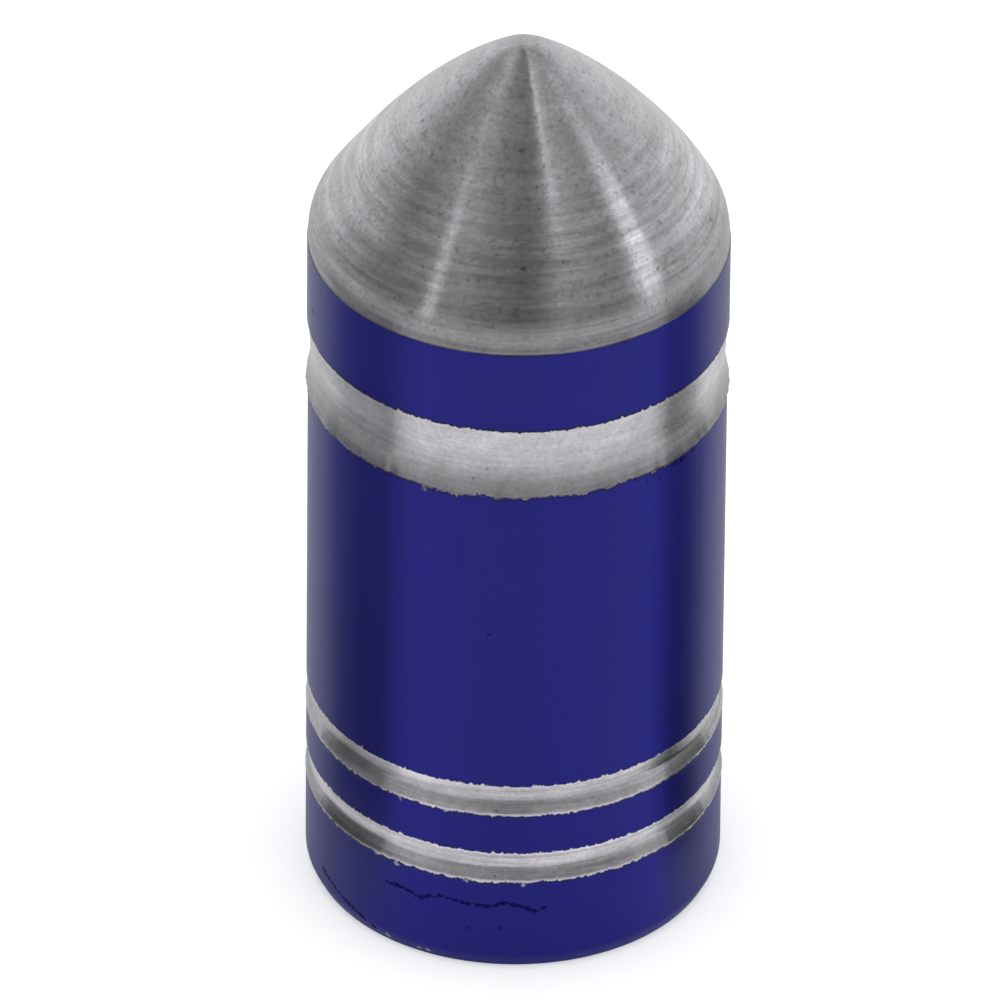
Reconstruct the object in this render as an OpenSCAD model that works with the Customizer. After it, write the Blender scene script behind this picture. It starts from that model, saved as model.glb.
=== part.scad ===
// Bullet-shaped tyre valve cap: one turned aluminium piece with a rubber seal inside.
// It stands on its open mouth. The bore's axis is Z and the mouth's plane is Z = 0.

/* [Barrel, from the mouth up] */
// Diameter of the coloured barrel
barrel_d = 10; // [9.6:0.1:12]
// Height of the chamfer round the mouth's outer edge
foot_chamfer_h = 0.35; // [0.1:0.05:0.8]
// Width of that chamfer, measured towards the axis
foot_chamfer_w = 0.18; // [0.05:0.01:0.4]
// Height of the coloured ring at the foot
foot_ring_h = 2.55; // [1.2:0.05:4]
// Width of each of the two narrow bare bands
thin_band_w = 0.85; // [0.5:0.05:1.2]
// Height of the coloured ring between the narrow bands
middle_ring_h = 1.1; // [0.6:0.05:2]
// Height of the plain barrel between the narrow bands and the wide one
grip_h = 8.4; // [6:0.05:14]
// Width of the wide bare band under the head
wide_band_w = 1.9; // [1:0.05:2.4]

/* [Bare bands] */
// Depth of a narrow band's root below the barrel
thin_band_depth = 0.11; // [0.03:0.01:0.2]
// Share of a narrow band's width that its lower wall takes
thin_band_foot = 0.5; // [0.25:0.05:0.6]
// Depth of the wide band's root below the barrel
wide_band_depth = 0.07; // [0.03:0.01:0.2]
// Height of the wide band's root above its lower edge
wide_band_root = 0.5; // [0.35:0.01:0.7]
// Height of the wide band's lip above its lower edge
lip_z = 0.15; // [0.1:0.01:0.25]
// How far the wide band's lip stands out from the barrel
lip_rise = 0.07; // [0.02:0.005:0.15]

/* [Head and nose] */
// How far the head stands out from the barrel
head_step = 0.03; // [0.01:0.005:0.3]
// Height of the coloured ring of the head
head_ring_h = 2.2; // [1:0.1:5]
// Height of the shoulder's corner above that ring, before the corner is rounded
shoulder_h = 0.4; // [0.4:0.05:1]
// Radius of the round at the shoulder, where the head turns into the nose
shoulder_round = 1.5; // [0.2:0.1:1.5]
// Height of the nose above the shoulder
nose_h = 5.1; // [4.5:0.05:7]
// Radius of the nose's curved side
nose_arc = 13; // [10:0.5:20]
// Radius of the round at the very tip
tip_round = 1.2; // [0.2:0.1:2]

/* [Threaded bore] */
// Diameter of the tapping bore, which is the crest of the inner thread
tapping_d = 7; // [6.9:0.05:7.2]
// Length of the tapping bore, from the mouth to the relief groove
thread_h = 7.8; // [6:0.1:9]
// Depth of the 45 degree chamfer that leads the valve stem in
lead_in = 0.45; // [0.2:0.05:0.6]
// Diameter of the relief groove behind the thread
relief_d = 7.9; // [7.8:0.05:8.4]
// Diameter of the hole that leaves room for the valve's core pin
pin_hole_d = 4; // [3:0.1:5]
// Depth of that hole's straight wall above the seal's seat
pin_hole_h = 1.6; // [0.8:0.1:3]
// Full point angle of the drill that made it
drill_point = 118; // [90:1:140]

/* [Seal] */
// Thickness of the rubber seal
seal_t = 1.2; // [0.8:0.1:2]
// Diameter of the hole in the seal
seal_hole_d = 4.4; // [3:0.1:5.4]
// Gap between the seal's rim and the relief groove
seal_gap = 0.05; // [0.02:0.01:0.15]
// Room left under the seal in the relief groove
seal_play = 0.1; // [0.05:0.05:0.3]

/* [Hidden] */
$fn = 96;
dyed_blue = [0.16, 0.16, 0.47];
bare_metal = [0.7, 0.7, 0.71];
black_rubber = [0.09, 0.09, 0.1];
// Cutters run this far past the faces that they open
over = 0.5;
// Angle from one point of a rounded outline to the next
arc_step = 1.5;

barrel_r = barrel_d / 2;
head_r = barrel_r + head_step;
low_band_z = foot_ring_h;
high_band_z = low_band_z + thin_band_w + middle_ring_h;
wide_band_z = high_band_z + thin_band_w + grip_h;
head_z = wide_band_z + wide_band_w;
border_z = head_z + head_ring_h;
shoulder_z = border_z + shoulder_h;
top_z = shoulder_z + nose_h;

seat_z = thread_h + seal_play + seal_t;
tapping_r = tapping_d / 2;
pin_hole_r = pin_hole_d / 2;
drill_tip_h = pin_hole_r / tan(drill_point / 2);

// Centre of the nose's arc: it meets the tip's round from inside and passes through the
// shoulder's corner, so it lies on two circles, one about each of those places
tip_centre = [0, top_z - tip_round];
corner = [head_r, shoulder_z];
span = corner - tip_centre;
gap_2 = span * span;
along = (gap_2 + pow(nose_arc - tip_round, 2) - nose_arc * nose_arc) / (2 * gap_2);
across = sqrt(pow(nose_arc - tip_round, 2) / gap_2 - along * along);
nose_centre = tip_centre + along * span + across * [span[1], -span[0]];
// Centre of the shoulder's round, which touches the head and the nose's arc from inside
shoulder_x = head_r - shoulder_round;
shoulder_drop = sqrt(pow(nose_arc - shoulder_round, 2) - pow(shoulder_x - nose_centre[0], 2));
shoulder_centre = [shoulder_x, nose_centre[1] + shoulder_drop];
// Angles above the horizontal at which one arc hands over to the next
shoulder_end = atan2(shoulder_drop, shoulder_x - nose_centre[0]);
nose_end = atan2(tip_centre[1] - nose_centre[1], -nose_centre[0]);

// Points of an arc about a centre, from one angle to another
function arc(centre, radius, from, to) =
    let (steps = ceil((to - from) / arc_step))
    [for (i = [0 : steps])
        let (a = from + (to - from) * i / steps)
        centre + radius * [cos(a), sin(a)]];

// Solid turned from an outline of radius and height
module turned(outline) {
    rotate_extrude() polygon(outline);
}

// The coloured part of the turning: foot, barrel and head as one stepped bar
module coloured_bar() {
    turned([
        [0, 0],
        [barrel_r - foot_chamfer_w, 0],
        [barrel_r, foot_chamfer_h],
        [barrel_r, wide_band_z],
        [barrel_r + lip_rise, wide_band_z + lip_z],
        [head_r, head_z],
        [head_r, border_z],
        [0, border_z]
    ]);
}

// The rounded shoulder and the curved nose, both bare
module bare_nose() {
    turned(concat(
        [[0, border_z], [head_r, border_z]],
        arc(shoulder_centre, shoulder_round, 0, shoulder_end),
        arc(nose_centre, nose_arc, shoulder_end, nose_end),
        arc(tip_centre, tip_round, nose_end, 90)
    ));
}

// Tool path of one bare band: a shallow vee with its root at root_h above the lower edge
module band_cut(z, low_r, root_h, root_r, top_h, top_r) {
    turned([
        [low_r, z],
        [root_r, z + root_h],
        [top_r, z + top_h],
        [head_r + over, z + top_h],
        [head_r + over, z]
    ]);
}

module thin_band(z) {
    root_r = barrel_r - thin_band_depth;
    band_cut(z, barrel_r, thin_band_foot * thin_band_w, root_r, thin_band_w, barrel_r);
}

module wide_band() {
    lip_r = barrel_r + lip_rise;
    root_r = barrel_r - wide_band_depth;
    band_cut(wide_band_z + lip_z, lip_r, wide_band_root - lip_z, root_r, wide_band_w - lip_z, head_r);
}

// Everything that is bored out from the mouth
module bore() {
    translate([0, 0, -over]) cylinder(r = tapping_r, h = thread_h + over);
    translate([0, 0, thread_h]) cylinder(d = relief_d, h = seat_z - thread_h);
    translate([0, 0, thread_h]) cylinder(r = pin_hole_r, h = seat_z - thread_h + pin_hole_h);
    translate([0, 0, seat_z + pin_hole_h]) cylinder(r1 = pin_hole_r, r2 = 0, h = drill_tip_h);
    turned([
        [0, -over],
        [tapping_r + lead_in + over, -over],
        [tapping_r, lead_in],
        [0, lead_in]
    ]);
}

module cap_body() {
    difference() {
        union() {
            color(dyed_blue) coloured_bar();
            color(bare_metal) bare_nose();
        }
        color(bare_metal) {
            thin_band(low_band_z);
            thin_band(high_band_z);
            wide_band();
        }
        color(dyed_blue) bore();
    }
}

// Flat rubber washer, held in the relief groove against the bore's shoulder
module seal_ring() {
    color(black_rubber)
    difference() {
        translate([0, 0, seat_z - seal_t]) cylinder(r = relief_d / 2 - seal_gap, h = seal_t);
        translate([0, 0, seat_z - seal_t - over]) cylinder(d = seal_hole_d, h = seal_t + 2 * over);
    }
}

cap_body();
seal_ring();
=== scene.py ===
# %% [markdown]
# A turned tyre valve cap, dressed over its CAD frame.
# The cap is one piece of aluminium: bored and threaded, dyed blue, then turned again so that the
# nose and three bands are bare. A rubber seal lies deep in the bore. The frame holds both solids,
# and this script gives them the finer form and the finish that a long lens picks out.

# %% Load the frame
import math

import bmesh
import bpy
from mathutils import Matrix, Vector, noise


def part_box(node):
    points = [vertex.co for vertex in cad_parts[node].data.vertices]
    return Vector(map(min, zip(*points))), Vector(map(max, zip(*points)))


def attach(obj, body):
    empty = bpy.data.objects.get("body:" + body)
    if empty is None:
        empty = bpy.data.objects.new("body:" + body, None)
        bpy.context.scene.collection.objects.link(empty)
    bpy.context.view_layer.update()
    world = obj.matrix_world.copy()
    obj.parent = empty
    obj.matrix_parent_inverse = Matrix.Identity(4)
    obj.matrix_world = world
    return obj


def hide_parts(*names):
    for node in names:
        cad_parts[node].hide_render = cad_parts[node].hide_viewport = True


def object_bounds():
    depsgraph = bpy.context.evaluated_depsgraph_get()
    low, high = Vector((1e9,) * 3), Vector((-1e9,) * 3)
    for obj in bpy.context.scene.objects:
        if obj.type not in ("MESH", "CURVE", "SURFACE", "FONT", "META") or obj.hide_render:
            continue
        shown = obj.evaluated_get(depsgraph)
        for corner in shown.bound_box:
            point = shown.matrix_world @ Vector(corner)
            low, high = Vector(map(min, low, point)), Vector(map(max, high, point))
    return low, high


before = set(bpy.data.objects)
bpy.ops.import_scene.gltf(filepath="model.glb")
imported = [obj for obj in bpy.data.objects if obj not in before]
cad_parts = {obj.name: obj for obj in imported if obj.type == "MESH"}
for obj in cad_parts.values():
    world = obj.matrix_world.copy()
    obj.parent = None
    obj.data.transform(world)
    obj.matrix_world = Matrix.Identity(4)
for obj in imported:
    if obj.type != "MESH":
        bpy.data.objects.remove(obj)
cad_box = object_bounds()
MM = 0.001
print("frame nodes:", sorted(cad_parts))

# %% [markdown]
# First the sizes that several pieces share. Each is a length on the real cap in millimetres, stacked
# from the mouth at zero up to the tip, just as a lathe operator would read them off a drawing. They
# could be read off the CAD meshes too, but named lengths are easier to follow. The frame gives the
# total height and width, and the last lines print how the stack fits it.

# %% Sizes of the cap in millimetres
BARREL_R = 5.0
HEAD_R = 5.03
LIP_R = 5.06
BORE_R = 3.5
LEAD_IN = 0.45

THIN_BAND = 0.85
WIDE_BAND = 1.9
LOW_BAND_Z = 2.55
HIGH_BAND_Z = LOW_BAND_Z + THIN_BAND + 1.1
WIDE_BAND_Z = HIGH_BAND_Z + THIN_BAND + 8.4
HEAD_Z = WIDE_BAND_Z + WIDE_BAND
BORDER_Z = HEAD_Z + 2.2
SHOULDER_Z = BORDER_Z + 0.55
TOP_Z = cad_box[1][2] / MM
print("shoulder at", round(SHOULDER_Z, 2), "and tip at", round(TOP_Z, 2), "mm")
print("widest: frame", round(cad_box[1][0] / MM, 3), "lip", LIP_R)

# %% [markdown]
# The camera stands well back with a long lens, which is how small parts are photographed, so the
# cap shows hardly any perspective. It looks down at 34.8 degrees, and it is rolled by just over half
# a degree because the cap leans that much in the picture. A lens shift isn't needed: the camera and
# what it aims at both stand a little to the left, which puts the cap a little right of the middle.

# %% Camera
CAMERA_DISTANCE = 600 * MM
CAMERA_ELEVATION = math.radians(34.8)
CAMERA_ROLL = math.radians(0.57)
LENS = 903.7
AIM = Vector((-0.39, 0, 10.22)) * MM

camera_data = bpy.data.cameras.new("camera")
camera_data.lens = LENS
camera_data.sensor_width = 36
camera_data.clip_start = 0.01
camera = bpy.data.objects.new("camera", camera_data)
bpy.context.scene.collection.objects.link(camera)
towards = Vector((0, -math.cos(CAMERA_ELEVATION), math.sin(CAMERA_ELEVATION)))
turn = towards.to_track_quat("Z", "Y").to_matrix().to_4x4()
camera.matrix_world = (
    Matrix.Translation(AIM + towards * CAMERA_DISTANCE)
    @ turn
    @ Matrix.Rotation(CAMERA_ROLL, 4, "Z")
)
bpy.context.scene.camera = camera
bpy.context.scene.view_settings.view_transform = "Standard"
print("camera at", [round(v, 3) for v in camera.location])

# %% [markdown]
# Colours are written the way a colour picker shows them, and one function turns them into the
# linear values that the renderer adds up. One more function adds a shader node with its settings
# and plugs its inputs, so each material below reads as a short recipe.

# %% Colour and node helpers
def linear(code):
    """The linear colour, with an alpha of 1, of a hex code such as #C6C4C8."""
    channels = [int(code[i : i + 2], 16) / 255 for i in (1, 3, 5)]
    return [c / 12.92 if c <= 0.04045 else ((c + 0.055) / 1.055) ** 2.4 for c in channels] + [1]


def node(tree, kind, settings=None, **inputs):
    """A new shader node; an input is given by its name, or by its number after an underscore."""
    made = tree.nodes.new("ShaderNode" + kind)
    for name, value in (settings or {}).items():
        setattr(made, name, value)
    for name, value in inputs.items():
        key = int(name[1:]) if name[1:].isdigit() else name.replace("_", " ")
        socket = made.inputs[key]
        if isinstance(value, bpy.types.NodeSocket):
            tree.links.new(value, socket)
        else:
            socket.default_value = value
    return made


def maths(tree, operation, a, b=0.0, c=0.0):
    """The outcome of one Math node."""
    return node(tree, "Math", {"operation": operation}, _0=a, _1=b, _2=c).outputs[0]


def new_material(name):
    """An empty material and its node tree."""
    made = bpy.data.materials.new(name)
    made.use_nodes = True
    made.node_tree.nodes.clear()
    return made, made.node_tree


print("white is", linear("#FFFFFF")[:3])

# %% [markdown]
# The studio is a pale sheet under an even white sky. The camera sees both as plain white, and the
# sheet keeps the cap's soft shadow. The sheet has a hole where the cap's mouth stands and can't be
# seen from below, so that a look from underneath finds the mouth and its thread in daylight.

# %% Floor
SHEET_LIFT = 0.34
SHEET_R = 3000 * MM
SHEET_HOLE_R = 4.78 * MM

floor_mesh = bpy.data.meshes.new("floor")
floor_shape = bmesh.new()
for edge_r in (SHEET_R, SHEET_HOLE_R):
    bmesh.ops.create_circle(floor_shape, segments=96, radius=edge_r)
bmesh.ops.bridge_loops(floor_shape, edges=floor_shape.edges)
floor_shape.normal_update()
if floor_shape.faces[:][0].normal.z < 0:
    bmesh.ops.reverse_faces(floor_shape, faces=floor_shape.faces)
floor_shape.to_mesh(floor_mesh)
floor_shape.free()
floor = bpy.data.objects.new("floor", floor_mesh)
bpy.context.scene.collection.objects.link(floor)
paper, tree = new_material("matt_white_paper")
sheet = node(tree, "BsdfDiffuse", Color=linear("#FBFBFB"))
seen = node(tree, "LightPath").outputs["Is Camera Ray"]
lift = node(tree, "Emission", Strength=maths(tree, "MULTIPLY", seen, SHEET_LIFT))
both = node(tree, "AddShader", _0=sheet.outputs[0], _1=lift.outputs[0])
underside = node(tree, "NewGeometry").outputs["Backfacing"]
open_below = node(tree, "BsdfTransparent").outputs[0]
one_sided = node(tree, "MixShader", _0=underside, _1=both.outputs[0], _2=open_below)
node(tree, "OutputMaterial", Surface=one_sided.outputs[0])
floor_mesh.materials.append(paper)
print("the sheet has", len(floor_mesh.polygons), "faces")

# %% [markdown]
# Turned metal shows whatever stands round it. Its marks run round the nose, so they smear every
# reflection up and down, and one place round the nose mirrors one whole curved slice of the room.
# For a camera at this height, the slice that shows at an angle round the nose holds the directions
# whose x over (cos 34.8 - y) is the tangent of that angle. So the room is painted by slices, as a
# tent with a dark slot for the camera, dim fronts, bright sides and a softer roof. The world is
# that tent for mirror-like rays, an even sky for the paper, and plain white for the camera. Real
# boards and lamps could build the same room, but a painted one is quieter and quicker to render.

# %% Light tent
SKY_LIGHT = 0.93
TENT = [
    (-90, 0.78), (-76, 0.70), (-68, 0.54), (-60, 0.39), (-54, 0.34), (-48, 0.20), (-42, 0.18),
    (-32, 0.21), (-27, 0.30), (-18, 0.29), (-13, 0.21), (-6, 0.13), (0, 0.05), (5, 0.13),
    (10, 0.26), (16, 0.28), (22, 0.27), (27, 0.20), (32, 0.19), (36, 0.50), (46, 0.56),
    (52, 0.52), (60, 0.62), (70, 0.70), (90, 0.80),
]
ROOF = [
    (-90, 0.36), (-70, 0.44), (-60, 0.60), (-50, 0.72), (-40, 0.70), (-30, 0.60), (-20, 0.46),
    (-13, 0.30), (0, 0.26), (7, 0.22), (10, 0.30), (12, 0.80), (14, 0.80), (17, 0.54), (25, 0.52),
    (32, 0.54), (40, 0.28), (60, 0.32), (90, 0.29),
]


def curve(tree, value, points, low, high):
    """A value read from a list of points, held at the first and the last one outside them."""
    share = node(tree, "MapRange", Value=value, From_Min=low, From_Max=high).outputs[0]
    made = node(tree, "FloatCurve", Value=share)
    made.mapping.use_clip = False
    line = made.mapping.curves[0].points
    placed = [((x - low) / (high - low), y) for x, y in points]
    line[0].location, line[1].location = placed[0], placed[-1]
    for spot in placed[1:-1]:
        line.new(*spot)
    for point in line:
        point.handle_type = "VECTOR"
    made.mapping.update()
    return made.outputs[0]


world = bpy.data.worlds.new("light_tent")
world.use_nodes = True
bpy.context.scene.world = world
tree = world.node_tree
tree.nodes.clear()
split = node(tree, "SeparateXYZ", Vector=node(tree, "TexCoord").outputs["Generated"])
depth = maths(tree, "SUBTRACT", math.cos(CAMERA_ELEVATION), split.outputs["Y"])
slice_angle = maths(tree, "DEGREES", maths(tree, "ARCTAN2", split.outputs["X"], depth))
mirrored = curve(tree, slice_angle, TENT, -90, 90)
overhead = node(tree, "MapRange", Value=split.outputs["Z"], From_Min=0.60, From_Max=0.92).outputs[0]
roof = maths(tree, "SUBTRACT", curve(tree, slice_angle, ROOF, -90, 90), mirrored)
mirrored = maths(tree, "MULTIPLY_ADD", roof, overhead, mirrored)
path = node(tree, "LightPath")
glossy = path.outputs["Is Glossy Ray"]
other = maths(tree, "MULTIPLY_ADD", maths(tree, "SUBTRACT", mirrored, SKY_LIGHT), glossy, SKY_LIGHT)
strength = maths(
    tree, "MULTIPLY_ADD", maths(tree, "SUBTRACT", 1.0, other), path.outputs["Is Camera Ray"], other
)
sky = node(tree, "Background", Color=linear("#FFFFFF"), Strength=strength)
node(tree, "OutputWorld", Surface=sky.outputs[0])
print("the tent has", len(TENT), "slices")

# %% [markdown]
# Soft boxes hang in the tent. Each one shows on the nose as a streak, so it is placed by the
# bearing and height at which the cap sees it: a streak at 25 degrees round the nose mirrors a box
# at about twice that bearing.

# %% Soft boxes
LAMP_DISTANCE = 260 * MM
LAMP_CENTRE = Vector((0, 0, 14 * MM))


def soft_box(name, bearing, height, width, tall, brightness):
    """A lamp that faces the cap; brightness is how bright its face looks, whatever its size."""
    b, h = math.radians(bearing), math.radians(height)
    way = Vector((math.sin(b) * math.cos(h), -math.cos(b) * math.cos(h), math.sin(h)))
    lamp = bpy.data.lights.new(name, "AREA")
    lamp.shape = "RECTANGLE"
    lamp.size = width * MM
    lamp.size_y = tall * MM
    lamp.energy = brightness * math.pi * lamp.size * lamp.size_y
    holder = bpy.data.objects.new(name, lamp)
    bpy.context.scene.collection.objects.link(holder)
    facing = way.to_track_quat("Z", "Y").to_matrix().to_4x4()
    holder.matrix_world = Matrix.Translation(LAMP_CENTRE + way * LAMP_DISTANCE) @ facing
    holder.visible_camera = False


soft_box("left_strip", bearing=-49, height=22, width=25, tall=60, brightness=1.75)
soft_box("right_box", bearing=76, height=22, width=54, tall=66, brightness=1.75)
soft_box("upper_strip", bearing=32, height=62, width=12, tall=90, brightness=0.9)

# %% [markdown]
# Two grey cards lie beside the cap, outside the picture, and only mirror-like rays meet them. They
# are the dark patches with upright edges in the bare bands. An upright wall mirrors the paper in
# front of it: at an angle round the cap, the mirrored ray leaves at twice that angle and meets the
# paper further out the higher the band is. So each card is cut between two such rays, and its patch
# keeps its angles in every band that is high enough to see it.

# %% Grey cards
CARD_Z = 0.2


def side_card(name, angle_from, angle_to, near, far, shade):
    """A card on the paper that shows between two angles round the cap, from near to far of it."""
    shape = bmesh.new()
    edge = []
    for angle, reach in [(angle_from, near), (angle_to, near), (angle_to, far), (angle_from, far)]:
        a = math.radians(angle)
        x = BARREL_R * math.sin(a) + reach * math.sin(2 * a)
        y = -BARREL_R * math.cos(a) - reach * math.cos(2 * a)
        edge.append(shape.verts.new((x * MM, y * MM, CARD_Z * MM)))
    shape.faces.new(edge)
    mesh = bpy.data.meshes.new(name)
    shape.to_mesh(mesh)
    shape.free()
    grey, tree = new_material(name + "_paint")
    node(tree, "OutputMaterial", Surface=node(tree, "BsdfDiffuse", Color=linear(shade)).outputs[0])
    mesh.materials.append(grey)
    card = bpy.data.objects.new(name, mesh)
    bpy.context.scene.collection.objects.link(card)
    card.visible_camera = False
    card.visible_diffuse = False
    card.visible_shadow = False


side_card("left_card", angle_from=-60, angle_to=-35, near=4.4, far=40, shade="#8C8C8E")
side_card("right_card", angle_from=44, angle_to=60, near=3.2, far=34, shade="#2B332B")

# %% [markdown]
# The cap's outline is drawn once, as half a section, and then spun. A turned part is exactly that,
# so nothing else gives such true circles. A line of the section is a list of (radius, height), with
# a third number where a corner is softened. Bevels on the spun mesh could soften the corners too,
# but they would cut the same corner hundreds of times, where the section holds it once.

# %% Outline helpers
def arc(centre, radius, start, end, step):
    """Points of an arc between two angles in degrees, no further apart than the step."""
    count = max(1, math.ceil(abs(end - start) / step))
    angles = [math.radians(start + (end - start) * i / count) for i in range(count + 1)]
    return [(centre[0] + radius * math.cos(a), centre[1] + radius * math.sin(a)) for a in angles]


def softened(before, corner, after, size, steps=3):
    """Points that round off a corner, starting and ending at size from it."""
    c = Vector(corner)
    start = c + (Vector(before) - c).normalized() * size
    end = c + (Vector(after) - c).normalized() * size
    out = []
    for i in range(steps + 1):
        t = i / steps
        out.append(tuple(start * (1 - t) ** 2 + c * 2 * t * (1 - t) + end * t * t))
    return out


def with_soft_corners(points):
    """The same line, with a few points in place of each corner that has a size to soften."""
    out = [points[0][:2]]
    for before, corner, after in zip(points, points[1:], points[2:]):
        size = corner[2] if len(corner) == 3 else 0
        out += softened(before[:2], corner[:2], after[:2], size) if size else [corner[:2]]
    return out + [points[-1][:2]]


print("a quarter of a circle in steps of 30 degrees:", len(arc((0, 0), 1, 0, 90, 30)), "points")

# %% [markdown]
# The nose is one arc of 15 mm that meets a small round at the tip and another at the shoulder, each
# from inside. Its centre lies where two circles cross. A curve drawn by hand could pass for it, but
# a turning tool moves on arcs, and their joints are smooth by themselves. The nose was cut after
# the dyeing, so it starts at the film's edge with a tiny step: that edge, and a painted shadow in
# the metal's colour beside it, draw the thin dark line between the blue and the bare metal.

# %% Outline of the nose
NOSE_ARC = 15.0
TIP_ROUND = 1.35
SHOULDER_ROUND = 1.5
CUT_IN = 0.02
tip_centre = Vector((0, TOP_Z - TIP_ROUND))
span = Vector((HEAD_R, SHOULDER_Z)) - tip_centre
reach_squared = (NOSE_ARC - TIP_ROUND) ** 2
along = (span.length_squared + reach_squared - NOSE_ARC**2) / (2 * span.length_squared)
across = math.sqrt(reach_squared / span.length_squared - along**2)
nose_centre = tip_centre + along * span + across * Vector((span.y, -span.x))
nose_end = math.degrees(math.atan2(tip_centre.y - nose_centre.y, -nose_centre.x))
shoulder_r = HEAD_R - CUT_IN - SHOULDER_ROUND
shoulder_drop = math.sqrt((NOSE_ARC - SHOULDER_ROUND) ** 2 - (shoulder_r - nose_centre.x) ** 2)
shoulder_centre = Vector((shoulder_r, nose_centre.y + shoulder_drop))
shoulder_end = math.degrees(math.atan2(shoulder_drop, shoulder_r - nose_centre.x))
nose = (
    arc(tip_centre, TIP_ROUND, 90, nose_end, 4)
    + arc(nose_centre, NOSE_ARC, nose_end, shoulder_end, 0.8)[1:]
    + arc(shoulder_centre, SHOULDER_ROUND, shoulder_end, 0, 1.5)[1:]
    + [(HEAD_R - CUT_IN, BORDER_Z + 0.015), (HEAD_R, BORDER_Z - 0.005), (HEAD_R, BORDER_Z - 0.05)]
)
print("the shoulder's round starts at", round(shoulder_centre.y, 2), "mm and ends at a lean of",
      round(shoulder_end, 1), "degrees")

# %% [markdown]
# Below the shoulder come the bands. Each is a shallow vee from a tool that was fed in after the
# dyeing: a long upper wall that looks slightly down, and a steeper lower wall that looks up and ends
# in a lip of metal that the tool pushed ahead of it. Those two tilts make each band read as a bright
# stripe over a darker one, and painted light and shade in the metal's colour further down make the
# stripes stronger. Rings laid on a plain barrel would be simpler, but they would stand out from it,
# while the real bands are cut into it. The corners are softened by a few hundredths of a millimetre.

# %% Outline of the barrel and its bands
THIN_ROOT = (4.885, 0.42, 0.05)
THIN_LIP = (BARREL_R + 0.02, 0.06, 0.02)
WIDE_ROOT = (4.93, 0.70, 0.28)
WIDE_LIP = (LIP_R, 0.06, 0.03)
FILM_STEP = 0.035
EDGE_HEIGHT = 0.02
PLAIN_ABOVE = 0.05
PLAIN_BELOW = 0.15
FOOT_CHAMFER_W = 0.18
FOOT_CHAMFER_H = 0.35


def band(low_z, width, top_r, root, lip, below_soft=0):
    """A bare band from above its top edge to below its lower edge; the end points keep the blue
    walls beside it straight."""
    return [
        (top_r, low_z + width + PLAIN_ABOVE),
        (top_r, low_z + width),
        (top_r - FILM_STEP, low_z + width - EDGE_HEIGHT),
        (root[0], low_z + root[1], root[2]),
        (lip[0], low_z + lip[1], lip[2]),
        (BARREL_R, low_z - EDGE_HEIGHT, below_soft),
        (BARREL_R, low_z - PLAIN_BELOW),
    ]


barrel = with_soft_corners(
    band(WIDE_BAND_Z, WIDE_BAND, HEAD_R, WIDE_ROOT, WIDE_LIP, below_soft=0.02)
    + band(HIGH_BAND_Z, THIN_BAND, BARREL_R, THIN_ROOT, THIN_LIP)
    + band(LOW_BAND_Z, THIN_BAND, BARREL_R, THIN_ROOT, THIN_LIP)
    + [(BARREL_R, FOOT_CHAMFER_H, 0.12), (BARREL_R - FOOT_CHAMFER_W, 0.0, 0.05)]
    + [(BORE_R + LEAD_IN, 0.0)]
)
print("barrel and bands:", len(barrel), "points")

# %% [markdown]
# The bore is what makes it a valve cap. Its thread is the standard one for valve stems, 32 turns to
# the inch. The wall is spun plain with ten rows to a turn, and then each point moves outwards by the
# height of the thread where the helix passes it. That keeps one closed skin with no boolean cut.

# %% Outline of the bore
THREAD_END_Z = 7.8
PITCH = 25.4 / 32
RELIEF_R = 3.95
SEAT_Z = 9.1
PIN_HOLE_R = 2.0
PIN_HOLE_Z = SEAT_Z + 1.6
DRILL_POINT = math.radians(118)
ROWS_PER_TURN = 10
row = PITCH / ROWS_PER_TURN
wall_rows = int(THREAD_END_Z / row)
wall = []
for i in range(wall_rows + 1):
    z = i * row
    wall.append((max(BORE_R, BORE_R + LEAD_IN - z), z))
bore = wall[1:] + [
    (BORE_R, THREAD_END_Z),
    (RELIEF_R, THREAD_END_Z),
    (RELIEF_R, SEAT_Z),
    (PIN_HOLE_R, SEAT_Z),
    (PIN_HOLE_R, PIN_HOLE_Z),
    (0.0, PIN_HOLE_Z + PIN_HOLE_R / math.tan(DRILL_POINT / 2)),
]
outline = nose + barrel + bore
print("outline:", len(outline), "points, of which the thread has", wall_rows)

# %% [markdown]
# Spinning the outline. A full turn in many small steps gives quads that run round the cap, and
# use_merge sews the last step to the first. The points that lie on the axis are then merged, which
# turns the faces round each pole into triangles and closes the skin. The Screw modifier could do
# the same, but a bmesh lets the next steps move single points.

# %% Spin the cap
CAP_SEGMENTS = 432


def spun(points, segments):
    """A closed skin from a line of (radius, height) in millimetres, turned once round the axis."""
    shape = bmesh.new()
    verts = [shape.verts.new((r * MM, 0, z * MM)) for r, z in points]
    edges = [shape.edges.new(pair) for pair in zip(verts, verts[1:])]
    bmesh.ops.spin(
        shape, geom=verts + edges, cent=(0, 0, 0), axis=(0, 0, 1), dvec=(0, 0, 0),
        angle=2 * math.pi, steps=segments, use_merge=True,
    )
    bmesh.ops.remove_doubles(shape, verts=shape.verts, dist=0.0001 * MM)
    bmesh.ops.recalc_face_normals(shape, faces=shape.faces)
    return shape


cap = spun(outline, CAP_SEGMENTS)
print("cap:", len(cap.verts), "points,", len(cap.faces), "faces")

# %% [markdown]
# The thread. Seen along the wall, one pitch holds a flat crest of a quarter pitch, a flat root of
# an eighth and two straight flanks between them. The helix passes each place at its own height, so
# the angle round the bore shifts the pattern by one pitch in a full turn. Every point of the wall
# moves outwards by the height of the groove there.

# %% Cut the thread
THREAD_ROOT_R = 3.89
CREST_FLAT = 1 / 4
ROOT_FLAT = 1 / 8


def thread_height(angle, z):
    """How far the thread's groove reaches into the wall at this place, from 0 to 1."""
    off_root = abs((z / PITCH - angle / (2 * math.pi)) % 1 - 0.5)
    flank = 0.5 - (CREST_FLAT + ROOT_FLAT) / 2
    return min(1, max(0, (0.5 - CREST_FLAT / 2 - off_root) / flank))


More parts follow.
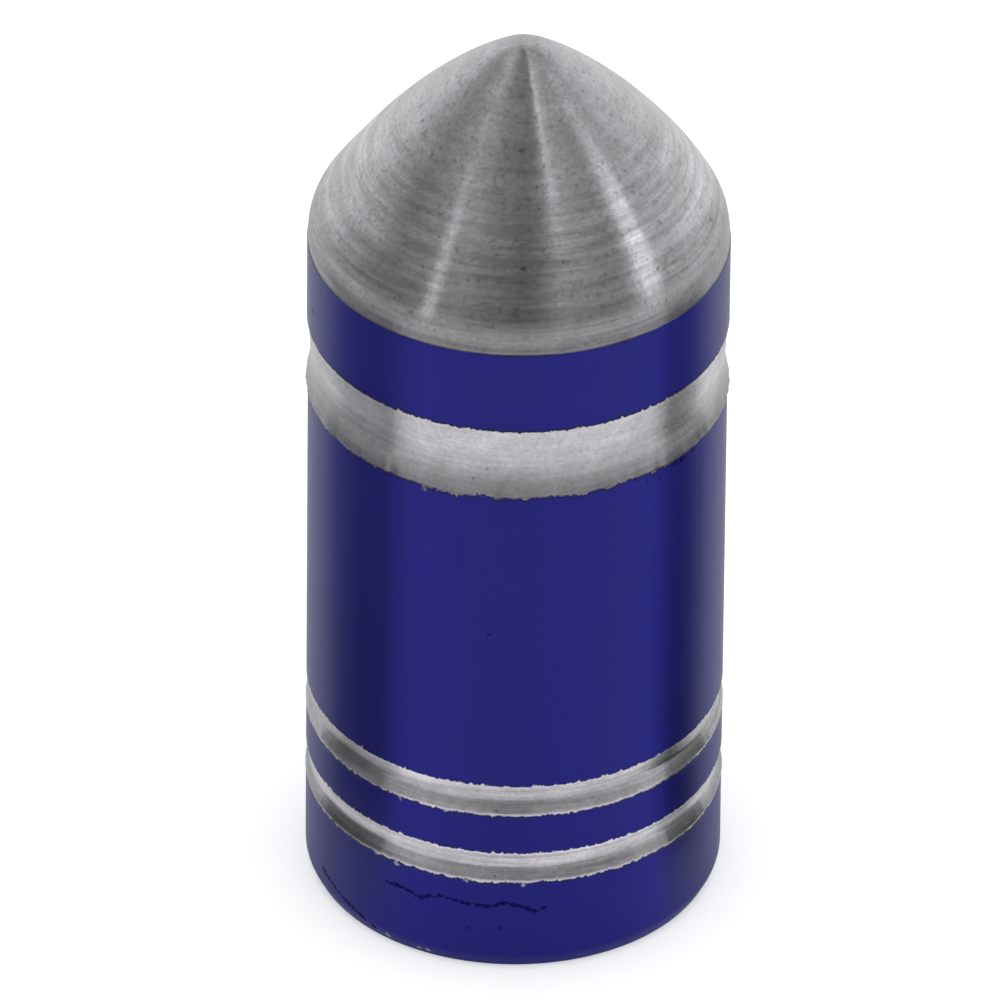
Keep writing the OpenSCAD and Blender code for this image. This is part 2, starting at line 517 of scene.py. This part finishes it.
for v in cap.verts:
    r, z = math.hypot(v.co.x, v.co.y) / MM, v.co.z / MM
    angle = math.atan2(v.co.y, v.co.x)
    if BORE_R - 0.01 < r < BORE_R + LEAD_IN + 0.01 and 0 < z < THREAD_END_Z - 0.01:
        new_r = max(r, BORE_R + (THREAD_ROOT_R - BORE_R) * thread_height(angle, z))
        v.co.x *= new_r / r
        v.co.y *= new_r / r
print("volume with the thread:", round(cap.calc_volume() / MM**3, 1), "cubic mm")

# %% [markdown]
# No burr is even. The lips of the bands are pressed back by up to a few hundredths of a millimetre,
# with smooth noise that runs round the cap. A bump in the material would be easier, but it leaves
# the outline straight, and the outline is where a torn lip shows. The nose was turned in a second
# set-up and sits a hair off the barrel's axis, which the outline in the picture shows too.

# %% Uneven lips and the second set-up
RUFFLE = 0.22 * MM
NOSE_SHIFT = 0.08
SHIFT_FROM = SHOULDER_Z - 0.2
SHIFT_OVER = 1.6
OUTER_WALL_R = 4.5
lips = [
    {"at": WIDE_BAND_Z + WIDE_LIP[1], "reach": 0.16, "swing": 0.04},
    {"at": HIGH_BAND_Z + THIN_LIP[1], "reach": 0.1, "swing": 0.012},
    {"at": LOW_BAND_Z + THIN_LIP[1], "reach": 0.1, "swing": 0.012},
]
for v in cap.verts:
    r, z = math.hypot(v.co.x, v.co.y) / MM, v.co.z / MM
    swing = max(0, *(lip["swing"] * (1 - abs(z - lip["at"]) / lip["reach"]) for lip in lips))
    if r > OUTER_WALL_R and swing > 0:
        ruffle = noise.noise(v.co / RUFFLE)
        new_r = r - swing * max(0, 0.3 + 0.7 * ruffle)
        v.co.x *= new_r / r
        v.co.y *= new_r / r
    if z > SHIFT_FROM:
        t = min(1, (z - SHIFT_FROM) / SHIFT_OVER)
        v.co.x += NOSE_SHIFT * t * t * (3 - 2 * t) * MM
print("lips ruffled:", len(lips))

# %% [markdown]
# Now the bmesh becomes an object. Smooth shading hides its facets, apart from edges that turn by
# more than the angle given, which stay sharp.

# %% The cap's skin
def finished(name, shape, sharp):
    """An object made from a bmesh, smooth but for edges that turn by more than this angle."""
    mesh = bpy.data.meshes.new(name)
    for face in shape.faces:
        face.smooth = True
    shape.to_mesh(mesh)
    shape.free()
    mesh.set_sharp_from_angle(angle=math.radians(sharp))
    piece = bpy.data.objects.new(name, mesh)
    bpy.context.scene.collection.objects.link(piece)
    return piece


cap_skin = finished("cap_skin", cap, sharp=14)
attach(cap_skin, "root")
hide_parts("cap_body")
print("cap skin:", len(cap_skin.data.polygons), "faces")

# %% [markdown]
# The seal is punched from rubber sheet, so its edges are a little rounded, and its lower face holds
# the faint ring that a valve stem has pressed into it. A torus would be too fat for it: it is a
# washer, so its square section is spun as the cap's was.

# %% The seal
seal_low, seal_high = (corner.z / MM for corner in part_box("seal_ring"))
SEAL_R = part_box("seal_ring")[1].x / MM
SEAL_HOLE_R = 2.2
PRESSED = 0.04
SEAL_SEGMENTS = 144
section = with_soft_corners([
    (SEAL_HOLE_R, seal_high),
    (SEAL_HOLE_R, seal_low, 0.08),
    (2.75, seal_low, 0.04),
    (2.9, seal_low + PRESSED, 0.04),
    (3.45, seal_low + PRESSED, 0.04),
    (3.6, seal_low, 0.04),
    (SEAL_R, seal_low, 0.12),
    (SEAL_R, seal_high, 0.12),
    (SEAL_HOLE_R, seal_high),
])
seal = finished("seal", spun(section, SEAL_SEGMENTS), sharp=30)
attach(seal, "root")
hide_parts("seal_ring")
print("seal from", round(seal_low, 2), "to", round(seal_high, 2), "mm")

# %% [markdown]
# Bare and dyed aluminium share one material, because they are one piece of metal and the border
# between them is torn by the tool, not ruled. First come the coordinates: the height, the distance
# from the axis and the angle round it, all from object space, so nothing here depends on the
# camera. Turning marks are noise squeezed flat: hardly any change round the cap, and a new line
# every few hundredths of a millimetre up it. Two materials on two rows of faces would be plainer,
# but then each border would be as smooth as the mesh.

# %% Coordinates on the cap
metal, tree = new_material("anodised_and_turned_aluminium")
place = node(tree, "TexCoord").outputs["Object"]
in_mm = node(tree, "VectorMath", {"operation": "SCALE"}, _0=place, Scale=1 / MM).outputs[0]
axes = node(tree, "SeparateXYZ", Vector=in_mm)
height = axes.outputs["Z"]
flat = node(tree, "CombineXYZ", X=axes.outputs["X"], Y=axes.outputs["Y"]).outputs[0]
radius = node(tree, "VectorMath", {"operation": "LENGTH"}, _0=flat).outputs["Value"]
outwards = node(tree, "VectorMath", {"operation": "NORMALIZE"}, _0=flat).outputs[0]
around = node(tree, "SeparateXYZ", Vector=outwards)
front = maths(tree, "MULTIPLY", around.outputs["Y"], -1.0)
azimuth = maths(tree, "DEGREES", maths(tree, "ARCTAN2", around.outputs["X"], front))


def turned_noise(per_radian, spacing, detail=2.0, shift=0.0, harsh=0.5):
    """Noise with this many features to a radian, and this spacing in millimetres up the cap."""
    x = maths(tree, "MULTIPLY", around.outputs["X"], per_radian)
    y = maths(tree, "MULTIPLY", around.outputs["Y"], per_radian)
    z = maths(tree, "MULTIPLY_ADD", height, 1 / spacing, shift)
    vector = node(tree, "CombineXYZ", X=x, Y=y, Z=z).outputs[0]
    return node(tree, "TexNoise", Vector=vector, Scale=1.0, Detail=detail, Roughness=harsh).outputs[0]


def ramp(value, low, high, out_low=0.0, out_high=1.0):
    """A soft step from one value to another while the input goes from low to high."""
    return node(
        tree, "MapRange", {"interpolation_type": "SMOOTHSTEP"},
        Value=value, From_Min=low, From_Max=high, To_Min=out_low, To_Max=out_high,
    ).outputs[0]


def times(*values):
    """All the values multiplied together."""
    total = values[0]
    for value in values[1:]:
        total = maths(tree, "MULTIPLY", total, value)
    return total


print("coordinates take", len(tree.nodes), "nodes")

# %% [markdown]
# Where the metal is bare. Each border has its own tear: the nose was turned clean, the upper edges
# of the bands are frayed finely, and the wide band's lower edge was torn in waves. Beside each
# border runs a painted shadow, a dark line on the blue side where the film's edge would shade it,
# and a painted highlight, a thin pale line on the bare side where torn tips would catch the light.
# A border is its height, its side, its tear, how far the tear swings, and how strong its painted
# shadow and its painted highlight are. The bore was dyed with the rest, so the last mask keeps the
# bands out of it: it holds outside the bore's wall and above the bore's end.

# %% Bare bands with torn borders
FADE = 0.014
SHADOW_OFF = 0.03
SHADOW_WIDTH = 0.07
TIPS_OFF = 0.04
TIPS_WIDTH = 0.05
OUTER_R = (4.3, 4.4)
OVER_BORE_Z = (16, 16.5)
fine_tear = turned_noise(46, spacing=0.5, detail=5.0, harsh=0.7)
fine_tear = maths(tree, "SUBTRACT", fine_tear, 0.5)
other_tear = turned_noise(31, spacing=0.5, detail=5.0, shift=40, harsh=0.7)
other_tear = maths(tree, "SUBTRACT", other_tear, 0.5)
waves = maths(tree, "SUBTRACT", turned_noise(9, spacing=2.0, shift=90), 0.5)
torn = maths(tree, "MULTIPLY_ADD", waves, 0.9, fine_tear)
borders = [
    (LOW_BAND_Z, 1, other_tear, 0.34, 0.45, 0.3),
    (LOW_BAND_Z + THIN_BAND, -1, fine_tear, 0.44, 0.2, 0.3),
    (HIGH_BAND_Z, 1, other_tear, 0.34, 0.45, 0.3),
    (HIGH_BAND_Z + THIN_BAND, -1, fine_tear, 0.44, 0.2, 0.3),
    (WIDE_BAND_Z, 1, torn, 0.40, 0.6, 0.15),
    (HEAD_Z, -1, fine_tear, 0.42, 0.75, 0.15),
    (BORDER_Z, 1, fine_tear, 0.03, 0.25, 0.0),
]
bare = 0.0
painted_edge_shadow = 0.0
torn_tip_highlight = 0.0
for level, side, tear, amount, shadow, tip_highlight in borders:
    step = maths(tree, "MULTIPLY_ADD", tear, amount, maths(tree, "SUBTRACT", height, level))
    bare = maths(tree, "MULTIPLY_ADD", ramp(step, -FADE, FADE), float(side), bare)
    # Painted shadow in the colour on the film's side of each border, and painted highlight on its
    # bare side.
    off_shadow = maths(tree, "ABSOLUTE", maths(tree, "ADD", step, SHADOW_OFF * side))
    painted_edge_shadow = maths(tree, "MAXIMUM", painted_edge_shadow, ramp(off_shadow, 0.0, SHADOW_WIDTH, shadow, 0.0))
    off_tips = maths(tree, "ABSOLUTE", maths(tree, "SUBTRACT", step, TIPS_OFF * side))
    torn_tip_highlight = maths(tree, "MAXIMUM", torn_tip_highlight, ramp(off_tips, 0.0, TIPS_WIDTH, tip_highlight, 0.0))
outside = maths(tree, "MAXIMUM", ramp(radius, *OUTER_R), ramp(height, *OVER_BORE_Z))
bare = times(bare, outside)
print("borders:", len(borders))

# %% [markdown]
# The small damage that the picture shows, placed by angle and height: pits in the nose, dark burrs
# that hang from the wide band, a dot on the barrel, pale chips at the foot and two scratches that
# run round the foot ring. Jittered coordinates keep all of it ragged.

# %% Helpers for damage
JITTER = 0.22
FAR_OFF = 9.0
jitter = node(tree, "TexNoise", Vector=in_mm, Scale=9.0, Detail=3.0).outputs["Color"]
jitter = node(tree, "VectorMath", {"operation": "SCALE"}, _0=jitter, Scale=JITTER).outputs[0]
rough_place = node(tree, "VectorMath", {"operation": "ADD"}, _0=in_mm, _1=jitter).outputs[0]
rough_place = node(
    tree, "VectorMath", {"operation": "SUBTRACT"}, _0=rough_place, _1=(JITTER / 2,) * 3
).outputs[0]
rough_height = node(tree, "SeparateXYZ", Vector=rough_place).outputs["Z"]


def radius_at(level):
    """The cap's outer radius at this height, up to just below the tip."""
    outer_line = sorted((z, r) for r, z in nose + barrel if r > 0.2)
    for (z0, r0), (z1, r1) in zip(outer_line, outer_line[1:]):
        if z0 <= level <= z1:
            return r0 + (r1 - r0) * (level - z0) / max(z1 - z0, 1e-6)
    return BARREL_R


def spots(size, places):
    """One mask with a ragged dot of this radius at each (angle in degrees, height)."""
    nearest = FAR_OFF
    for angle, level in places:
        a, r = math.radians(angle), radius_at(level)
        centre = (r * math.sin(a), -r * math.cos(a), level)
        gap = node(tree, "VectorMath", {"operation": "DISTANCE"}, _0=rough_place, _1=centre)
        nearest = maths(tree, "MINIMUM", nearest, gap.outputs["Value"])
    return ramp(nearest, size * 0.2, size * 1.3, 1.0, 0.0)


def scratch(points, width):
    """A line that runs round the cap through (angle in degrees, height)."""
    lows, highs = min(p[0] for p in points), max(p[0] for p in points)
    held = maths(tree, "MAXIMUM", maths(tree, "MINIMUM", azimuth, highs), lows)
    level = curve(tree, held, points, lows, highs)
    off = maths(tree, "ABSOLUTE", maths(tree, "SUBTRACT", rough_height, level))
    past_end = maths(tree, "ABSOLUTE", maths(tree, "SUBTRACT", azimuth, held))
    return ramp(maths(tree, "ADD", off, past_end), width * 0.4, width, 1.0, 0.0)


print("the cap is", round(2 * radius_at(21.0), 2), "mm across at 21 mm")

# %% [markdown]
# The damage itself: a list of places for each size of dot, and the course of each scratch. Pits,
# burrs and scratches are dark, in the metal as in the film, while the chips at the borders and the
# foot show bare metal. Noise breaks the scratches up with short gaps, as if what made them skipped.

# %% Pits, burrs, chips and scratches
big_pits = spots(0.085, [
    (54.2, 19.89), (77.2, 19.05), (-71.5, 21.67), (-86, 22.31), (1.5, 19.74), (0.2, 21.85),
    (-84, 21.0), (48.5, 13.64), (51.2, 13.6), (56.5, 13.66), (-75.5, 16.52),
])
small_pits = spots(0.05, [
    (54.5, 19.65), (8.0, 21.22), (14.5, 19.81), (45.2, 19.14), (-73, 20.78), (-48.2, 22.07),
    (65, 22.06), (58.5, 21.54), (33.8, 22.4), (42.5, 13.58), (42.8, 13.44), (53.0, 13.61),
    (34.0, 13.71), (38.0, 13.56), (-7.0, 9.78), (-69, 17.47), (-5, 4.64), (-30, 14.58),
    (-8, 14.51), (-12, 14.24), (-5, 2.73), (-11.8, 1.13), (-3.2, 1.21),
])
chips = spots(0.075, [
    (-37.2, 0.2), (-27, 0.16), (-24.2, 0.18), (-13, 2.52), (-34, 2.51), (-41, 2.52), (3, 2.52),
    (-33, 4.47), (-19, 4.48), (-26, 13.68),
])
long_scratch = scratch([
    (-37.5, 1.79), (-34, 1.86), (-30, 1.82), (-26.3, 1.73), (-23.5, 1.84), (-20.2, 1.92),
    (-17, 1.9), (-13.8, 1.87), (-10, 1.82), (-7, 1.81), (-4.7, 1.87), (-2.5, 1.95), (1.2, 1.89),
    (4, 1.8), (6.2, 1.68), (7.8, 1.72), (9.5, 1.82),
], 0.07)
foot_scratch = scratch([
    (-66, 0.84), (-59.8, 0.68), (-56.5, 0.62), (-53.5, 0.57), (-50.5, 0.51), (-47, 0.44),
    (-43.8, 0.35), (-41, 0.27),
], 0.06)
breaks = ramp(turned_noise(45, spacing=1 / 6, shift=12), 0.36, 0.46)
damage = times(maths(tree, "MAXIMUM", long_scratch, foot_scratch), breaks)
damage = maths(tree, "MAXIMUM", damage, maths(tree, "MAXIMUM", big_pits, small_pits))
bare = maths(tree, "MAXIMUM", bare, chips)
print("damage is placed")

# %% [markdown]
# How bright the bare metal is changes with height, and this is painted light and shade: the lower
# walls of the bands are painted dark as shaded, and torn too, their upper walls are painted bright as
# if lit, the wide band is painted darker towards its lower edge, and the shoulder is painted darker
# as shaded and scuffed. So each list below gives the brightness at a few heights in millimetres. A
# painted picture could hold the same, but lists stay sharp at any distance and are easy to change.

# %% Painted light and shade on the bare metal
# Painted highlight on the upper walls and painted shade on the lower walls of the narrow bands.
THIN_BANDS_LIGHT_AND_SHADE = [
    (2.4, 1.1), (2.52, 1.0), (2.65, 0.60), (2.9, 0.74), (3.0, 1.12), (3.1, 1.26), (3.4, 1.22),
    (3.6, 1.0), (4.35, 1.1), (4.47, 1.0), (4.6, 0.68), (4.75, 0.68), (4.95, 0.86), (5.1, 1.0),
    (5.25, 1.12), (5.6, 1.0),
]
# Painted shade towards the wide band's lower edge and on the scuffed shoulder, painted highlight at
# the wide band's top.
HEAD_LIGHT_AND_SHADE = [
    (13.5, 1.0), (13.65, 0.42), (13.85, 0.40), (14.1, 0.53), (14.4, 0.76), (14.7, 0.92), (15.0, 1.1),
    (15.65, 1.1), (17.7, 0.46), (17.95, 0.40), (18.2, 0.52), (18.5, 0.64), (19.0, 0.84), (19.6, 1.0),
]
MARKS_DEPTH = [
    (2.4, 1.1), (5.6, 1.1), (13.5, 0.35), (15.7, 0.35), (17.9, 0.8), (20.3, 1.0), (21.6, 0.35),
    (23.3, 0.3),
]


def up_the_cap(points):
    """A value read by height from a list of (height, value)."""
    return curve(tree, height, points, points[0][0], points[-1][0])


print("tones at", len(THIN_BANDS_LIGHT_AND_SHADE) + len(HEAD_LIGHT_AND_SHADE), "heights")

# %% [markdown]
# Patches of painted shade darken the bands in a few stretches round the cap, where the metal
# mirrors darker surroundings: the lower walls of the narrow bands at the front left, and the wide
# band near both sides, where grey dirt dulls its left end too. A patch is a spread in height times a
# spread in angle, where 0 degrees is the front. Multiplying the two keeps its edges soft in both
# directions.

# %% Painted shade on the bands
THIN_SHADE_HEIGHTS = [
    (2.4, 0.0), (2.55, 0.45), (2.88, 0.45), (2.98, 0.0), (4.6, 0.0), (4.75, 0.45), (4.98, 0.45),
    (5.06, 0.0), (5.6, 0.0),
]
THIN_SHADE_ANGLES = [(-90, 0.0), (-66, 0.0), (-57, 1.0), (-46, 1.0), (-37, 0.0), (90, 0.0)]
WIDE_SHADE_HEIGHTS = [(13.5, 0.0), (14.2, 0.1), (14.5, 0.26), (15.65, 0.26), (15.9, 0.0)]
WIDE_SHADE_ANGLES = [(-90, 1.0), (-64, 1.0), (-57, 0.0), (68, 0.0), (80, 0.8), (90, 1.0)]


def painted_shade(heights, angles):
    """The brightness that a patch of painted shade leaves, from its spread in height and round the
    cap.
    """
    shaded = times(up_the_cap(heights), curve(tree, azimuth, angles, -90, 90))
    return maths(tree, "SUBTRACT", 1.0, shaded)


print("the darkest stain takes", max(h[1] for h in THIN_SHADE_HEIGHTS), "of the light")

# %% [markdown]
# The marks and the mottling of the bare metal. Fine marks run nearly all the way round, with a few
# coarse ones between them, shorter streaks, the grain of the alloy, and dark speckle where coolant
# dried on it. All of them only shade the metal here, and the next cell gives the marks their relief.
# The spacings are in millimetres: a fine mark every 0.03 and a coarse one every 0.15.

# %% Marks and mottling
FINE_MARK = 1 / 30
COARSE_MARK = 1 / 6.5
STREAK = 1 / 12
GRAIN = 1 / 11
MOTTLE = 1 / 1.5
SPECKLE = 1 / 6.5
fine_marks = turned_noise(1.3, FINE_MARK, detail=3.0)
coarse_marks = turned_noise(1.6, COARSE_MARK, detail=4.0, shift=5)
streaks = turned_noise(10.0, STREAK, detail=3.0, shift=7)
grain = node(tree, "TexNoise", Vector=in_mm, Scale=1 / GRAIN, Detail=2.0).outputs[0]
mottle = node(tree, "TexNoise", Vector=in_mm, Scale=1 / MOTTLE, Detail=5.0, Roughness=0.6).outputs[0]
speckle = node(tree, "TexNoise", Vector=in_mm, Scale=1 / SPECKLE, Detail=3.0).outputs[0]
speckle = ramp(speckle, 0.56, 0.70)
marks = maths(tree, "MULTIPLY_ADD", fine_marks, 0.4, coarse_marks)
marks = times(maths(tree, "SUBTRACT", marks, 0.7), up_the_cap(MARKS_DEPTH))
shade = maths(tree, "MULTIPLY_ADD", marks, 1.2, 1.0)
shade = times(shade, maths(tree, "MULTIPLY_ADD", streaks, 0.3, 0.85))
shade = times(shade, maths(tree, "MULTIPLY_ADD", mottle, 0.5, 0.75))
shade = times(shade, maths(tree, "MULTIPLY_ADD", grain, 0.5, 0.75))
speckle = times(speckle, ramp(height, 17, 18.5, 0.35, 1.0))
shade = times(shade, maths(tree, "MULTIPLY_ADD", speckle, -0.26, 1.03))
# Patches of painted shade, and at the wide band's left end some dirt.
shade = times(shade, painted_shade(THIN_SHADE_HEIGHTS, THIN_SHADE_ANGLES))
shade = times(shade, painted_shade(WIDE_SHADE_HEIGHTS, WIDE_SHADE_ANGLES))
# Painted highlight where the torn tips lie beside each border.
shade = times(shade, maths(tree, "ADD", torn_tip_highlight, 1.0))
# Painted light and shade by height.
shade = times(shade, up_the_cap(THIN_BANDS_LIGHT_AND_SHADE), up_the_cap(HEAD_LIGHT_AND_SHADE))
print("bare metal takes", len(tree.nodes), "nodes so far")

# %% [markdown]
# The finish. Bare metal is a slightly purple grey. The film is a deep blue over the same metal: its
# colour tints the metal's own reflections, and a clear coat stands for its smooth surface, so the
# coat is only there where the mask says film. At a glancing angle the film mirrors less white than
# the bare metal does, and the tint for glancing light holds that. The roughness is stretched across
# the marks, which gives the nose its streaks from tip to border. Two shaders mixed by the mask would
# do as well, but one shader keeps the metal the same piece on both sides of a border.

# %% Aluminium, dyed blue and turned bare
FILM_ROUGHNESS = 0.42
BARE_ROUGHNESS = 0.26
GROOVE_DEPTH = 0.005 * MM
bare_colour = node(
    tree, "VectorMath", {"operation": "SCALE"}, _0=linear("#C6C4C8")[:3], Scale=shade
).outputs[0]
film_shade = maths(tree, "MULTIPLY_ADD", maths(tree, "ADD", mottle, grain), 0.2, 0.8)
film_colour = node(
    tree, "VectorMath", {"operation": "SCALE"}, _0=linear("#161496")[:3], Scale=film_shade
).outputs[0]
colour = node(
    tree, "Mix", {"data_type": "RGBA"}, _0=bare, _6=film_colour, _7=bare_colour
).outputs[2]
# Painted shadow along the film's edges, and the darker damage.
edge_shadow_and_damage = times(
    maths(tree, "SUBTRACT", 1.0, painted_edge_shadow), maths(tree, "MULTIPLY_ADD", damage, -0.6, 1.0)
)
colour = node(tree, "VectorMath", {"operation": "SCALE"}, _0=colour, Scale=edge_shadow_and_damage).outputs[0]
roughness = maths(tree, "MULTIPLY_ADD", bare, BARE_ROUGHNESS - FILM_ROUGHNESS, FILM_ROUGHNESS)
relief = maths(tree, "MULTIPLY_ADD", fine_marks, 0.2, coarse_marks)
relief = maths(tree, "MULTIPLY_ADD", streaks, 0.25, relief)
relief = maths(tree, "MULTIPLY_ADD", grain, 0.25, relief)
grooves = node(tree, "Bump", Strength=1.0, Distance=GROOVE_DEPTH, Height=relief).outputs[0]
spin_line = node(tree, "Tangent", {"direction_type": "RADIAL", "axis": "Z"}).outputs[0]
film = times(maths(tree, "SUBTRACT", 1.0, bare), maths(tree, "MULTIPLY_ADD", damage, -0.8, 1.0))
edge_tint = node(
    tree, "Mix", {"data_type": "RGBA"}, _0=bare, _6=linear("#2C2C2D"), _7=linear("#FFFFFF")
).outputs[2]
surface = node(
    tree, "BsdfPrincipled", Base_Color=colour, Metallic=1.0, Roughness=roughness,
    Specular_Tint=edge_tint, Anisotropic=0.97, Anisotropic_Rotation=0.25, Tangent=spin_line,
    Normal=grooves, Coat_Weight=film, Coat_Roughness=0.36, Coat_IOR=1.31,
)
node(tree, "OutputMaterial", Surface=surface.outputs[0])
cap_skin.data.materials.append(metal)
print(metal.name, "has", len(tree.nodes), "nodes")

# %% [markdown]
# The seal is black nitrile rubber, pressed into sheet: nearly matt, with a grain of about a tenth of
# a millimetre that takes the last gloss off it. Noise on the object's own coordinates is enough,
# because the seal lies deep in the bore and is seen only from below.

# %% Nitrile rubber
RUBBER_GRAIN = MM / 9
rubber, tree = new_material("nitrile_rubber")
place = node(tree, "TexCoord").outputs["Object"]
grain = node(tree, "TexNoise", Vector=place, Scale=1 / RUBBER_GRAIN, Detail=3.0).outputs[0]
surface = node(
    tree, "BsdfPrincipled", Base_Color=linear("#1A1A1C"), IOR=1.5,
    Roughness=maths(tree, "MULTIPLY_ADD", grain, 0.2, 0.55),
    Normal=node(tree, "Bump", Strength=0.5, Distance=0.006 * MM, Height=grain).outputs[0],
)
node(tree, "OutputMaterial", Surface=surface.outputs[0])
seal.data.materials.append(rubber)
print(rubber.name, "is on the seal")
